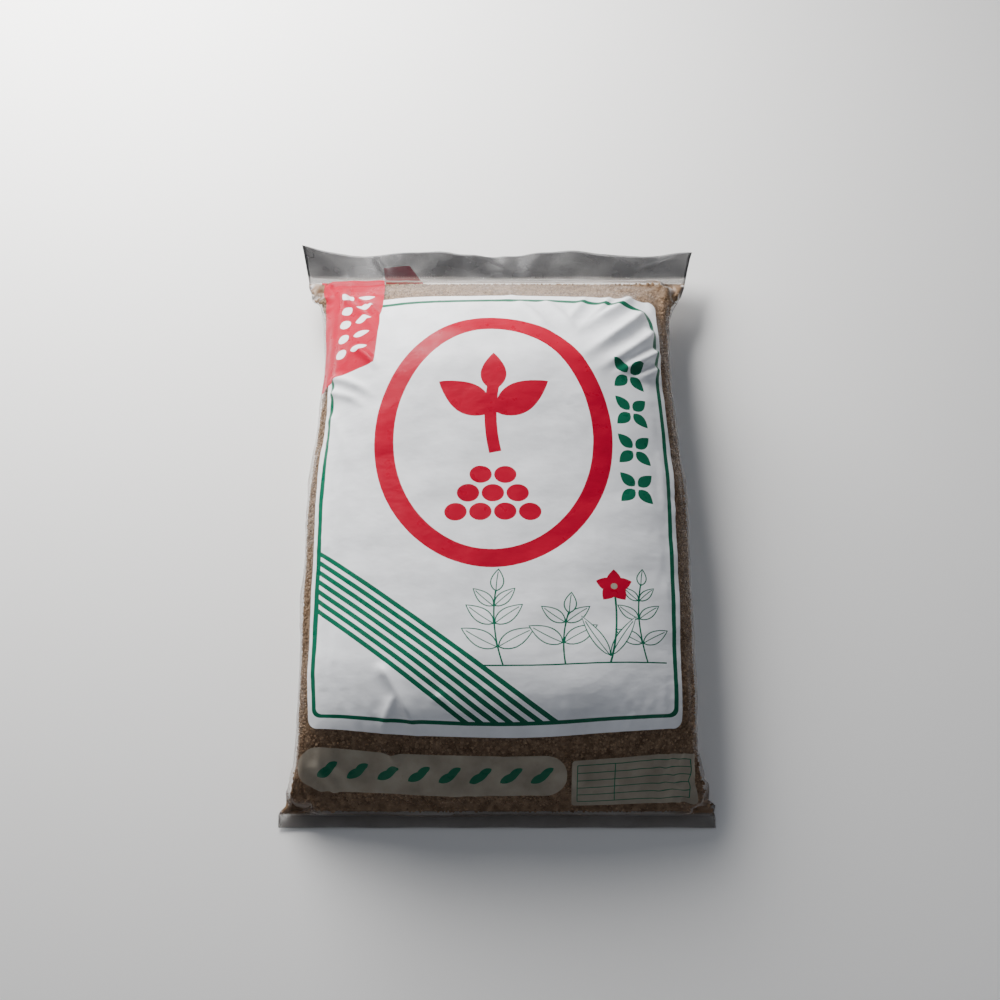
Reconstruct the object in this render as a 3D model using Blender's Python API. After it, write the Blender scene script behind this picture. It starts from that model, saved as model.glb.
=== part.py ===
"""Sack of akadama soil, lying on its back as it comes to rest.

A length of clear polyethylene tube, printed on its flat sides, holds the soil. Both ends are
heat-sealed: a short fin at the foot, and at the mouth an empty margin with the seal at its edge.
Metres, +Z up. X runs across the sack and +Y runs to its mouth. The origin is on the floor, under
the middle of the sack's box.
"""

import math

import bmesh
import bpy

# The film tube, lying flat and empty
TUBE_WIDTH = 0.384
FILM_WALL = 0.0005
SEAL_SLIT = 0.0004  # what is left open between the two films where a seam begins

# Lengths along the filled sack, from its foot to its mouth
FOOT_FIN = 0.012
BODY_LENGTH = 0.532
MOUTH_MARGIN = 0.034

# Half widths in plan: the film is flat and wide at its seams and drawn in where it is full
EAR_DRAW_IN = 0.001  # how far each ear stays short of half the tube's width
MOUTH_SEAM_HALF_WIDTH = 0.1840
BELLY_HALF_WIDTH = 0.1755
SHOULDER_HALF_WIDTH = 0.1645
BELLY_END = 0.260  # from the foot seam, where the belly starts to narrow
SHOULDER_START = 0.430  # from the foot seam, where it has narrowed to the shoulder
FOOT_FLARE = 0.078
MOUTH_FLARE = 0.092
FLARE_POWER = 2.4

# Heights above the floor
BELLY_CROWN = 0.097
SHOULDER_CROWN = 0.104  # fuller, as the same girth of film is narrower there
FOOT_SEAM_HEIGHT = 0.0040
MOUTH_SEAM_HEIGHT = 0.0300
EDGE_SHARE = 0.43  # the widest line of the side, as a share of the crown's height
FOOT_SLOPE = 0.118  # how far in from the foot seam the crown reaches its full height
FOOT_SLOPE_POWER = 2.6  # higher is steeper where the crown leaves the seam
MOUTH_SLOPE = 0.150
MOUTH_SLOPE_POWER = 2.1
FOOT_LIFT = 0.040  # how far in from each seam the underside leaves the floor
MOUTH_LIFT = 0.075
FLOOR_PRESS = 0.004  # how far a free round underside would sag below the floor

# Fullness of the cross-section: 2 and 1 are a lens, higher numbers a box with round edges
BODY_ACROSS = 2.7
BODY_UP = 1.9
SEAM_ACROSS = 2.0
SEAM_UP = 1.0
UNDER_ACROSS = 5.0
UNDER_UP = 2.2

# Puckers: ridges of slack film that fan out from each corner
PUCKER_HEIGHT = 0.0038
PUCKER_NEAR = 0.014
PUCKER_REACH = 0.165
PUCKER_RIDGES = 4

# The empty margin at the mouth, which waves and turns up at one corner
WAVE_HEIGHT = 0.0050
WAVE_LENGTH = 0.135
EAR_LIFT = 0.013
EAR_LIFT_WIDTH = 0.060

# The soil inside, and the vents that let air out of the full sack
SOIL_CLEARANCE = 0.0004
SOIL_FOOT_GAP = 0.016  # from each seam to where the soil ends
SOIL_MOUTH_GAP = 0.012
VENT_RADIUS = 0.0015
VENT_COUNT = 4
VENT_SPACING = 0.060
VENT_FROM_SEAM = 0.030

# The white field printed on the front, from the foot seam and across
FIELD_START = 0.058
FIELD_END = 0.492
FIELD_HALF_WIDTH = 0.168

# How finely the film is faceted
STATIONS = 44
MARGIN_STATIONS = 4
TOP_POINTS = 36
UNDER_POINTS = 12

TOTAL_LENGTH = FOOT_FIN + BODY_LENGTH + MOUTH_MARGIN
FOOT_EDGE = -TOTAL_LENGTH / 2
FOOT_SEAM = FOOT_EDGE + FOOT_FIN
MOUTH_SEAM = FOOT_SEAM + BODY_LENGTH
EAR_HALF_WIDTH = TUBE_WIDTH / 2 - EAR_DRAW_IN
DOUBLE_FILM = FILM_WALL + SEAL_SLIT / 2  # from the middle of the flat tube to its face


def clamp01(value):
    return min(1.0, max(0.0, value))


def blend(low, high, share):
    """From low to high as share goes from 0 to 1, level at both ends."""
    share = clamp01(share)
    return low + (high - low) * share * share * (3 - 2 * share)


def seam_shares(y, foot_length, mouth_length):
    """How far y has come in from each seam, as shares of the two lengths, up to 1."""
    foot = clamp01((y - FOOT_SEAM) / foot_length)
    mouth = clamp01((MOUTH_SEAM - y) / mouth_length)
    return foot, mouth


def between(belly, shoulder, y):
    """The belly's value as far as the belly reaches, then over to the shoulder's."""
    along = (y - FOOT_SEAM - BELLY_END) / (SHOULDER_START - BELLY_END)
    return blend(belly, shoulder, along)


def half_width(y):
    """Half the sack's width in plan at y."""
    body = between(BELLY_HALF_WIDTH, SHOULDER_HALF_WIDTH, y)
    foot, mouth = seam_shares(y, FOOT_FLARE, MOUTH_FLARE)
    at_foot = (EAR_HALF_WIDTH - body) * (1 - foot) ** FLARE_POWER
    at_mouth = (MOUTH_SEAM_HALF_WIDTH - body) * (1 - mouth) ** FLARE_POWER
    return body + at_foot + at_mouth


def fullness(y):
    """0 at a seam, where the films meet, and 1 where the sack is full."""
    foot, mouth = seam_shares(y, FOOT_SLOPE, MOUTH_SLOPE)
    return (1 - (1 - foot) ** FOOT_SLOPE_POWER) * (1 - (1 - mouth) ** MOUTH_SLOPE_POWER)


def seam_height(y):
    """The height of the flat film: the foot's seam at one end, the mouth's at the other."""
    return blend(FOOT_SEAM_HEIGHT, MOUTH_SEAM_HEIGHT, (y - FOOT_SEAM) / BODY_LENGTH)


def heights(y):
    """Crown, widest line and underside of the section at y."""
    full = fullness(y)
    seam = seam_height(y)
    highest = between(BELLY_CROWN, SHOULDER_CROWN, y)
    crown = seam + (highest - seam) * full
    edge = seam + (highest * EDGE_SHARE - seam) * full
    foot, mouth = seam_shares(y, FOOT_LIFT, MOUTH_LIFT)
    lifted = (1 - foot) ** 2 + (1 - mouth) ** 2
    under = seam * lifted - FLOOR_PRESS * (1 - lifted)
    return crown, edge, under


def arch(across, power_across, power_up):
    """Height of a section at a share of its half width, as a share of its middle's."""
    return max(0.0, 1 - abs(across) ** power_across) ** (1 / power_up)


def pucker(x, y):
    """How far the ridges of slack film stand out at a point in plan."""
    from_side = half_width(y) - abs(x)
    from_seam = min(y - FOOT_SEAM, MOUTH_SEAM - y)
    reach = math.hypot(from_side, from_seam)
    angle = math.atan2(from_seam, from_side)
    grow = clamp01((reach - PUCKER_NEAR) / PUCKER_NEAR)
    fade = clamp01((PUCKER_REACH - reach) / (PUCKER_REACH - 2 * PUCKER_NEAR))
    ridge = 0.5 - 0.5 * math.cos(4 * PUCKER_RIDGES * angle)
    return PUCKER_HEIGHT * grow * fade * fade * ridge * math.sin(2 * angle)


def ring_shares(coarser=1):
    """The ring's points as (share of the half width, side), with side +1 above and -1 below.

    They start at the right fold, cross the top to the left fold and come back underneath. The
    two folds have side 0. A coarser ring skips points, and its own lie on the finer one.
    """
    ring = [(1.0, 0)]
    for i in range(coarser, TOP_POINTS, coarser):
        ring.append((math.cos(math.pi * i / TOP_POINTS), 1))
    ring.append((-1.0, 0))
    for i in range(coarser, UNDER_POINTS, coarser):
        ring.append((-math.cos(math.pi * i / UNDER_POINTS), -1))
    return ring


def section(y, inset, slack, ring):
    """The film's or the soil's ring of points at y, inset from the film's outer face.

    slack is 1 for the film, which puckers, and 0 for the soil, which lies within it.
    """
    crown, edge, under = heights(y)
    full = fullness(y)
    across_power = blend(SEAM_ACROSS, BODY_ACROSS, full)
    up_power = blend(SEAM_UP, BODY_UP, full)
    wide = half_width(y)
    flat = DOUBLE_FILM - inset
    points = []
    for share, side in ring:
        x = share * (wide - inset)
        if side > 0:
            z = edge + flat + (crown - edge) * arch(share, across_power, up_power)
            z += slack * pucker(x, y)
        elif side < 0:
            depth = (edge - under) * arch(share, UNDER_ACROSS, UNDER_UP)
            z = max(edge - flat - depth, inset)
        else:
            z = edge
        points.append((x, y, z))
    return points


def margin_lift(x, share):
    """How far the empty margin stands off its seam's level, at a share of the margin's depth."""
    wave = -WAVE_HEIGHT * math.cos(2 * math.pi * x / WAVE_LENGTH)
    ear = clamp01(1 - (EAR_HALF_WIDTH + x) / EAR_LIFT_WIDTH)
    return share * (wave + EAR_LIFT * ear * ear)


def fin(y, seam_y, share, ring):
    """A ring of the flat double film beyond a seam, at a share of the way to its free edge."""
    points = []
    seam_width = half_width(seam_y)
    wide = seam_width + (EAR_HALF_WIDTH - seam_width) * share
    for across, side in ring:
        x = across * wide
        z = seam_height(seam_y) + side * FILM_WALL
        if seam_y == MOUTH_SEAM:
            z += margin_lift(x, share)
        points.append((x, y, z))
    return points


def stations(start, end, count):
    """Places along the sack, closer together near both ends."""
    middle, reach = (start + end) / 2, (end - start) / 2
    return [
        middle - reach * math.sin(math.pi / 2 * math.cos(math.pi * i / count))
        for i in range(count + 1)
    ]


def skin(bm, rings, inward):
    """Joins rings of points into a closed tube with both ends capped.

    Every quad is cut along the same diagonal, so that two skins of like rings stay parallel.
    """
    rows = [[bm.verts.new(point) for point in ring] for ring in rings]
    count = len(rows[0])
    faces = []
    for near, far in zip(rows, rows[1:]):
        for i in range(count):
            j = (i + 1) % count
            faces.append((near[i], near[j], far[j]))
            faces.append((near[i], far[j], far[i]))
    faces.append(tuple(reversed(rows[0])))
    faces.append(tuple(rows[-1]))
    for corners in faces:
        bm.faces.new(corners if inward else tuple(reversed(corners)))


def mesh_object(name, bm, materials):
    """A smooth-shaded object of this name, with the given materials."""
    mesh = bpy.data.meshes.new(name)
    bm.to_mesh(mesh)
    bm.free()
    mesh.shade_smooth()
    mesh.set_sharp_from_angle(angle=math.radians(50))
    for material in materials:
        mesh.materials.append(material)
    item = bpy.data.objects.new(name, mesh)
    bpy.context.scene.collection.objects.link(item)
    return item


def make_material(name, colour, roughness, alpha=1.0):
    """A Principled material."""
    material = bpy.data.materials.new(name)
    material.use_nodes = True
    shader = material.node_tree.nodes["Principled BSDF"]
    shader.inputs["Base Color"].default_value = (*colour, 1.0)
    shader.inputs["Roughness"].default_value = roughness
    shader.inputs["Metallic"].default_value = 0.0
    shader.inputs["Alpha"].default_value = alpha
    return material


def vent_cutter():
    """A row of short rods that pierce the film's back, near the mouth."""
    bm = bmesh.new()
    y = MOUTH_SEAM - VENT_FROM_SEAM
    under = section(y, 0.0, 1.0, [(0.0, -1)])[0][2]
    for i in range(VENT_COUNT):
        made = bmesh.ops.create_cone(
            bm,
            cap_ends=True,
            segments=12,
            radius1=VENT_RADIUS,
            radius2=VENT_RADIUS,
            depth=6 * VENT_RADIUS,
        )
        x = (i - (VENT_COUNT - 1) / 2) * VENT_SPACING
        bmesh.ops.translate(bm, verts=made["verts"], vec=(x, y, under))
    cutter = mesh_object("vent_cutter", bm, [])
    cutter.hide_render = True
    cutter.display_type = "WIRE"
    return cutter


def paint_field(film):
    """Gives the faces of the front that lie inside the printed field its white ink."""
    for face in film.data.polygons:
        x, y, z = face.center
        across = abs(x) < FIELD_HALF_WIDTH
        along = FIELD_START < y - FOOT_SEAM < FIELD_END
        edge = heights(y)[1]
        face.material_index = 1 if across and along and z > edge else 0


def make_film():
    """The sack itself: one closed skin of film, hollow between its seams and vented."""
    ring = ring_shares()
    places = stations(FOOT_SEAM, MOUTH_SEAM, STATIONS)
    outer = [fin(FOOT_EDGE, FOOT_SEAM, 1.0, ring)]
    outer += [section(y, 0.0, 1.0, ring) for y in places]
    for i in range(1, MARGIN_STATIONS + 1):
        share = i / MARGIN_STATIONS
        outer.append(fin(MOUTH_SEAM + MOUTH_MARGIN * share, MOUTH_SEAM, share, ring))
    inner = [section(y, FILM_WALL, 1.0, ring) for y in places]
    bm = bmesh.new()
    skin(bm, outer, inward=False)
    skin(bm, inner, inward=True)
    clear = make_material("clear_film", (0.62, 0.60, 0.57), 0.22, alpha=0.45)
    white = make_material("white_ink", (0.78, 0.80, 0.84), 0.30)
    film = mesh_object("film_sack", bm, [clear, white])
    vents = film.modifiers.new("vents", "BOOLEAN")
    vents.operation = "DIFFERENCE"
    vents.solver = "EXACT"
    vents.object = vent_cutter()
    paint_field(film)
    return film


def make_soil():
    """The soil as one mass that fills the film between its seams."""
    ring = ring_shares(coarser=2)
    inset = FILM_WALL + SOIL_CLEARANCE
    places = stations(FOOT_SEAM, MOUTH_SEAM, STATIONS)
    filled = [
        y
        for y in places
        if FOOT_SEAM + SOIL_FOOT_GAP < y < MOUTH_SEAM - SOIL_MOUTH_GAP
    ]
    bm = bmesh.new()
    skin(bm, [section(y, inset, 0.0, ring) for y in filled], inward=False)
    brown = make_material("akadama_soil", (0.30, 0.19, 0.11), 0.95)
    return mesh_object("soil_fill", bm, [brown])


def main():
    for old in list(bpy.data.objects):
        bpy.data.objects.remove(old)
    make_film()
    make_soil()


main()
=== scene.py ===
"""Looks of the sack of akadama soil, built round its packed CAD frame.

The film is one mesh. It is laid out flat as the tube that it was made from, wrapped on the CAD
film's sections and settled on the full sack's form with Blender's Cloth. Its print is cut into the
flat layout, so every printed edge is an edge of the mesh. Lengths are in metres, in the frame's own
axes: X across, +Y to the mouth, +Z up.
"""

import math

import bmesh
import bpy
import numpy as np
from bpy.props import FloatProperty, FloatVectorProperty, IntProperty, PointerProperty
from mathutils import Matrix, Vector
from mathutils.bvhtree import BVHTree
from mathutils.geometry import convex_hull_2d, delaunay_2d_cdt
from mathutils.kdtree import KDTree


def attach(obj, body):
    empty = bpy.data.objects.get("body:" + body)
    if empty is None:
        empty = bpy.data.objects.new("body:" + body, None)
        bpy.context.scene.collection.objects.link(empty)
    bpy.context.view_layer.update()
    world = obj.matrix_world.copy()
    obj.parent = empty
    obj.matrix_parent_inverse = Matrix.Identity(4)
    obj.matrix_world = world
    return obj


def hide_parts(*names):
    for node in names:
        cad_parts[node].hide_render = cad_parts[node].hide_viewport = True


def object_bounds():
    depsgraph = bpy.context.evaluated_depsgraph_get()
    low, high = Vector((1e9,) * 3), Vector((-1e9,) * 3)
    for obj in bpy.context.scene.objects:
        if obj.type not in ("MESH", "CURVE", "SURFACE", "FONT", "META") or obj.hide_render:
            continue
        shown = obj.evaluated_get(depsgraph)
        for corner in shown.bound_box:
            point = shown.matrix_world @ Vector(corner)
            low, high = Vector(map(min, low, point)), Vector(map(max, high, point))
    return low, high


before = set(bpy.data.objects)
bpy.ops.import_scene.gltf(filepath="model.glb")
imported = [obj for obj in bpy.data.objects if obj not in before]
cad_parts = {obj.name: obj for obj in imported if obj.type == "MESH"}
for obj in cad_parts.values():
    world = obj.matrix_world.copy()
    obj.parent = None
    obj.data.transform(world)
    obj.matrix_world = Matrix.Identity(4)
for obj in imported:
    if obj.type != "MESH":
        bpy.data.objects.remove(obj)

bl_info = {
    "name": "Soil sack",
    "version": (1, 0, 0),
    "blender": (4, 5, 0),
    "location": "3D View > Sidebar > Soil sack",
    "description": "Builds a filled, printed film sack of soil round its CAD frame",
    "category": "Object",
}

CAD_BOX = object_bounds()
FILM = "film_sack"
SOIL = "soil_fill"
BODY = "root"
INKS = ("clear", "empty", "seal", "white", "red", "green", "cream")

# CAD points this near along Y are one section. A whole section has more points than the least,
# and more than this share of the tube's girth.
SAME_STATION = 1e-4
LEAST_POINTS = 60
LEAST_GIRTH = 0.93

# Rows of the grid in the empty margin past the mouth's seam and in the fin past the foot's.
MARGIN_ROWS = 8
FIN_ROWS = 3

# Lowest height of the settled film and of its finished mesh, the space between the two sheets
# where a seam presses them together, half the thickness of the CAD film's empty margin, and the
# furthest that the cloth may move from the CAD film.
REST_HEIGHT = 0.0003
LEAST_HEIGHT = 0.0002
SEALED_GAP = 0.00012
HALF_MARGIN = 0.0005
FURTHEST_SETTLING = 0.012

# The film within this height of the floor lies flat on it and is held there.
PRESSED_HEIGHT = 0.0012

# The print on the flat film: u across from the front's middle, v up from the foot's seam.
PANEL = (-0.1652, 0.086, 0.1622, 0.553)
BORDER_INSET = 0.0105
SIDE_INSET = 0.0045
EMBLEM = (-0.003, 0.373)
LEAF_COLUMN = (0.124, 0.443)
PLANTING = (-0.014, 0.148)
PLANTING_LINE = 0.0011
BANNER = ((-0.179, 0.602), (-0.179, 0.441), (-0.116, 0.455), (-0.116, 0.602))
BANNER_MARKS = (-0.153, 0.560)
PILL = (-0.176, 0.0270, 0.062, 0.0685)
LABEL = (0.066, 0.0150, 0.178, 0.0620)
LABEL_RULES = (0.071, 0.0200, 0.173, 0.0570)
RULE = 0.0008
STRIPES = 7
STRIPE_RISE = 0.1006
STRIPE_STEP = 0.0098
STRIPE_RUN = 1.29

# Heading of what points straight up the print.
UP = math.pi / 2

# The two layings of loose grains: their step, and the least and the greatest thickness of the
# sack where they lie, all in mean grain sizes.
GRAIN_LAYINGS = ((0.92, 1.9, 1e3), (0.57, 0.16, 1.9))

# A lump's reach from its centre and the thickness that it needs, both in its own radius, and how
# near a lump lies to the film.
LUMP_REACH = 1.22
LUMP_ROOM = 2.6
FILM_CLEARANCE = 0.0003

# Size of the packed soil's voxels, how far it keeps from the settled film, and how much of the
# sack's thickness an inset may take where the sack is thin.
VOXEL = 0.0035
SOIL_CLEARANCE = 0.0012
INSET_SHARE = 0.3

# Folds that the photograph shows: start, end, width and height of each, and its sideways bow.
FOLDS = (
    ((0.142, 0.564), (0.070, 0.484), 0.0062, 0.0052, 0.004),
    ((0.152, 0.540), (0.070, 0.450), 0.0062, 0.0070, 0.006),
    ((0.160, 0.512), (0.084, 0.438), 0.0058, 0.0066, 0.006),
    ((0.162, 0.484), (0.104, 0.438), 0.0050, 0.0068, 0.003),
    ((0.160, 0.462), (0.126, 0.438), 0.0044, 0.0046, 0.002),
    ((0.118, 0.560), (0.070, 0.478), 0.0045, 0.0030, 0.003),
    ((0.092, 0.556), (0.058, 0.490), 0.0045, 0.0022, 0.003),
    ((0.018, 0.540), (0.056, 0.478), 0.0045, 0.0026, 0.002),
    ((0.044, 0.542), (0.080, 0.484), 0.0045, 0.0024, 0.002),
    ((-0.176, 0.588), (-0.108, 0.478), 0.0046, 0.0044, 0.003),
    ((-0.152, 0.576), (-0.108, 0.516), 0.0044, 0.0024, -0.004),
    ((-0.132, 0.552), (-0.102, 0.496), 0.0034, 0.0036, -0.002),
    ((-0.142, 0.482), (-0.108, 0.440), 0.0036, 0.0034, 0.003),
    ((-0.166, 0.452), (-0.108, 0.412), 0.0036, 0.0042, 0.004),
    ((-0.164, 0.434), (-0.118, 0.404), 0.0034, 0.0034, 0.004),
    ((-0.162, 0.414), (-0.132, 0.340), 0.0050, 0.0020, 0.004),
    ((-0.100, 0.150), (-0.062, 0.072), 0.0048, 0.0056, 0.004),
    ((-0.101, 0.084), (-0.078, 0.036), 0.0042, 0.0050, 0.003),
    ((-0.078, 0.132), (-0.099, 0.076), 0.0042, 0.0034, -0.003),
    ((-0.052, 0.124), (-0.018, 0.090), 0.0050, 0.0022, 0.002),
    ((0.070, 0.634), (0.118, 0.606), 0.0028, 0.0018, 0.004),
    ((0.100, 0.635), (0.152, 0.605), 0.0026, 0.0022, 0.005),
    ((0.186, 0.632), (0.120, 0.606), 0.0028, 0.0020, -0.004),
    ((-0.122, 0.634), (-0.112, 0.606), 0.0030, 0.0020, 0.001),
    ((-0.020, 0.634), (0.020, 0.606), 0.0030, 0.0014, 0.002),
)

# Where the film is creased all over: u, v, reach, heading and spread in degrees, and how many.
CREASED = (
    (-0.155, 0.575, 0.050, -50, 35, 10),
    (0.155, 0.575, 0.055, -128, 30, 10),
    (-0.165, 0.030, 0.050, 60, 35, 9),
    (0.165, 0.030, 0.050, 120, 35, 9),
    (0.000, 0.585, 0.045, -90, 25, 8),
    (0.000, 0.020, 0.045, 90, 30, 10),
    (0.210, 0.300, 0.050, 90, 60, 12),
    (0.558, 0.300, 0.050, 90, 60, 12),
    (0.384, 0.570, 0.060, -90, 35, 10),
    (0.384, 0.030, 0.050, 90, 35, 10),
    (0.100, 0.620, 0.030, -40, 40, 6),
    (-0.100, 0.620, 0.030, -120, 40, 6),
)

SHARED = {}


def length(name, default, description):
    return FloatProperty(
        name=name, default=default, description=description, unit="LENGTH", precision=5
    )


def number(name, default, description):
    return FloatProperty(name=name, default=default, description=description, min=0.0)


def share(name, default, description):
    return FloatProperty(name=name, default=default, description=description, min=0.0, max=1.0)


def colour(name, default, description):
    return FloatVectorProperty(
        name=name, default=default, description=description, subtype="COLOR", size=3, min=0.0, max=1.0
    )


class FilmSettings(bpy.types.PropertyGroup):
    """The film tube, how it is wrapped and how finely it is meshed."""

    tube_width: length("Tube width", 0.384, "Width of the film tube lying flat")
    seam_to_seam: length("Seam to seam", 0.602, "Length of film between the two seams")
    mouth_seam: length("Mouth seam", 0.255, "Where the mouth's seam lies along Y")
    foot_seam: length("Foot seam", -0.277, "Where the foot's seam lies along Y")
    slack: length("Slack", 0.0018, "How far off the CAD film the cloth starts")
    grid: length("Cloth grid", 0.006, "Spacing of the simulated grid")
    seal: length("Seal", 0.007, "Width of the pressed band across the mouth")
    front_grid: length("Front grid", 0.0026, "Spacing of the finished mesh on the front")
    back_grid: length("Back grid", 0.0052, "Spacing of the finished mesh on the back")
    layer_gap: length("Layer gap", 0.0009, "Space between the two films of the empty margin")
    frames: IntProperty(name="Frames", default=30, description="Length of the cloth simulation", min=1)
    seed: IntProperty(name="Seed", default=4, description="Seed of the film's first unevenness")


class PrintSettings(bpy.types.PropertyGroup):
    """Inks of the print."""

    white: colour("White", (0.82, 0.84, 0.87), "The ground of the printed panel")
    red: colour("Red", (0.40, 0.003, 0.026), "The emblem and the corner banner")
    green: colour("Green", (0.005, 0.115, 0.062), "Borders, stripes and leaves")
    cream: colour("Cream", (0.40, 0.36, 0.29), "The label bands at the foot")
    cream_cover: share("Cream cover", 0.72, "How much of the soil the thin cream ink hides")
    border: length("Border", 0.0034, "Width of the green border along the panel's foot")
    border_side: length("Border's sides", 0.0043, "Width of the green border along the panel's sides")
    border_top: length("Border's top", 0.0056, "Width of the green border along the panel's top")
    stripe: length("Stripe", 0.0042, "Width of each diagonal stripe")


class SoilSettings(bpy.types.PropertyGroup):
    """Loose soil behind the clear film."""

    dark: colour("Dark grain", (0.120, 0.072, 0.041), "Darkest grains")
    light: colour("Light grain", (0.37, 0.26, 0.172), "Lightest grains")
    grain: length("Grain", 0.0034, "Mean size of one grain")
    inset: length("Inset", 0.0014, "How far the packed soil lies below the outermost grains")
    furthest: length("Furthest", 0.022, "How far past the CAD soil grains may lie")
    below: share("Below", 0.15, "How many of the grains on the underside are built")
    seed: IntProperty(name="Seed", default=11, description="Seed of the grains")


class StageSettings(bpy.types.PropertyGroup):
    """Floor, light and camera."""

    floor: colour("Floor", (0.90, 0.90, 0.89), "The plain floor")
    floor_half: length("Floor's half", 4.0, "Half the width of the floor")
    ambient: number("Ambient", 0.165, "Strength of the even studio light")
    key: number("Key", 31.0, "Power of the key light in watts, which has no reflection in the film")
    sheen: number("Sheen", 6.5, "Power of the small light whose reflection shows on the film, in watts")
    fill: number("Fill", 2.5, "Power of the fill light in watts")
    elevation: number("Elevation", 63.2, "Camera above the horizon, in degrees")
    distance: length("Distance", 1.967, "Camera to the sack's origin")
    lens: number("Lens", 75.6, "Focal length in mm on a 36 mm frame")
    aim_up: length("Aim up", 0.0294, "How far above the origin the camera aims, across its view")
    aim_right: length("Aim right", 0.0026, "How far right of the origin the camera aims")


def hull_ring(points, count):
    """The convex outline of (x, z) points, resampled to count points by girth.

    The first point is the crown's middle, and the ring turns to +X first.
    """
    order = convex_hull_2d([Vector(p) for p in points])
    hull = points[order]
    area = np.sum(hull[:, 0] * np.roll(hull[:, 1], -1) - np.roll(hull[:, 0], -1) * hull[:, 1])
    if area > 0:
        hull = hull[::-1]
    start = int(np.argmin(hull[:, 0] - hull[:, 1] * 1e-6))
    hull = np.roll(hull, -start, axis=0)
    turn = int(np.argmax(hull[:, 0]))
    halves = []
    for chain in (hull[: turn + 1], np.vstack([hull[turn:], hull[:1]])):
        steps = np.r_[0, np.cumsum(np.hypot(*np.diff(chain, axis=0).T))]
        halves.append((chain, steps))
    (top, top_d), (low, low_d) = halves
    middle = np.interp(0.0, top[:, 0], top_d)
    girth = top_d[-1] + low_d[-1]
    path = np.vstack([top, low[1:]])
    along = np.r_[top_d, top_d[-1] + low_d[1:]]
    at = (middle + np.arange(count) / count * girth) % girth
    return np.stack([np.interp(at, along, path[:, k]) for k in (0, 1)], axis=1)


def cad_sections(node, count, start, end, least_girth):
    """Outlines of a CAD node at its own stations between two places along Y.

    A station with less than the least girth has lost corners where the part is straight.
    """
    co = np.array([v.co for v in node.data.vertices], float).reshape(-1, 3)
    co = co[np.argsort(co[:, 1])]
    found = []
    for here in np.split(co, np.flatnonzero(np.diff(co[:, 1]) > SAME_STATION) + 1):
        y = here[:, 1].mean()
        if start - SAME_STATION <= y <= end + SAME_STATION and len(here) > LEAST_POINTS:
            ring = hull_ring(here[:, [0, 2]], count)
            if np.linalg.norm(np.roll(ring, -1, axis=0) - ring, axis=1).sum() > least_girth:
                found.append((y, ring))
    return np.array([y for y, _ in found]), np.array([ring for _, ring in found])


def smooth(share):
    """0 to 1 with level ends."""
    share = np.clip(share, 0, 1)
    return share * share * (3 - 2 * share)


def smooth_grid(grid, times):
    """Averages a grid with its neighbours: round in its second axis, its end rows kept."""
    for _ in range(times):
        grid = 0.5 * grid + 0.25 * (np.roll(grid, 1, axis=1) + np.roll(grid, -1, axis=1))
        inner = 0.5 * grid[1:-1] + 0.25 * (grid[2:] + grid[:-2])
        grid = np.concatenate([grid[:1], inner, grid[-1:]])
    return grid


def wrapped_grid(s):
    """The tube's grid laid on the CAD film: rows from the foot's seam to the mouth's.

    Column 0 runs along the crown. Half the columns are the front, from one fold to the other.
    """
    columns = 4 * round(s.tube_width / 2 / s.grid)
    rows = round(s.seam_to_seam / s.grid) + 1
    least = LEAST_GIRTH * 2 * s.tube_width
    ys, rings = cad_sections(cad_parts[FILM], columns, s.foot_seam, s.mouth_seam, least)
    t = np.arange(columns) / columns
    across = np.minimum(t, 1 - t) * 2
    crown = np.r_[0, np.cumsum(np.hypot(np.diff(ys), np.diff(rings[:, 0, 1])))]
    shares = np.linspace(0, 1, rows)
    y_crown = np.interp(shares * crown[-1], crown, ys)
    y_side = ys[0] + shares * (ys[-1] - ys[0])
    near = 1 - 0.7 * np.minimum(1, 2 * across) ** 2  # how far a column follows the crown's rows
    grid = np.zeros((rows, columns, 3))
    for i in range(columns):
        y = y_crown * near[i] + y_side * (1 - near[i])
        grid[:, i, 0] = np.interp(y, ys, rings[:, i, 0])
        grid[:, i, 1] = y
        grid[:, i, 2] = np.interp(y, ys, rings[:, i, 1])
    thick = np.ptp(grid[:, :, 2], axis=1)
    full = smooth((thick - 0.02) / 0.04)[:, None, None]  # only where the sack is thick
    return grid + (smooth_grid(grid, 4) - grid) * full


def unit(vectors):
    """Vectors brought to a length of 1."""
    return vectors / np.maximum(np.linalg.norm(vectors, axis=-1, keepdims=True), 1e-12)


def grid_normals(grid):
    """Outward unit normals of a wrapped grid."""
    around = np.roll(grid, -1, axis=1) - np.roll(grid, 1, axis=1)
    return -unit(np.cross(np.gradient(grid, axis=0), around))


def unevenness(points, seed):
    """Smooth random height at 3-D points, about 1 high."""
    random = np.random.default_rng(seed)
    waves = random.normal(0, 55, (24, 3))
    phases = random.uniform(0, 2 * math.pi, 24)
    return np.sin(points @ waves.T + phases).sum(axis=-1) / math.sqrt(24)


def tube_faces(rows, columns):
    """Outward faces of a wrapped grid, as its points' numbers."""
    number = np.arange(rows * columns).reshape(rows, columns)
    after = np.roll(number, -1, axis=1)
    return np.stack([number[:-1], after[:-1], after[1:], number[1:]], axis=-1).reshape(-1, 4)


def new_mesh(name, points, faces):
    """A mesh of some points and of faces given as their numbers."""
    mesh = bpy.data.meshes.new(name)
    mesh.from_pydata(points.reshape(-1, 3).tolist(), [], faces.tolist())
    return mesh


def in_scene(name, data):
    """A new object in the scene."""
    item = bpy.data.objects.new(name, data)
    bpy.context.scene.collection.objects.link(item)
    return item


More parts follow.
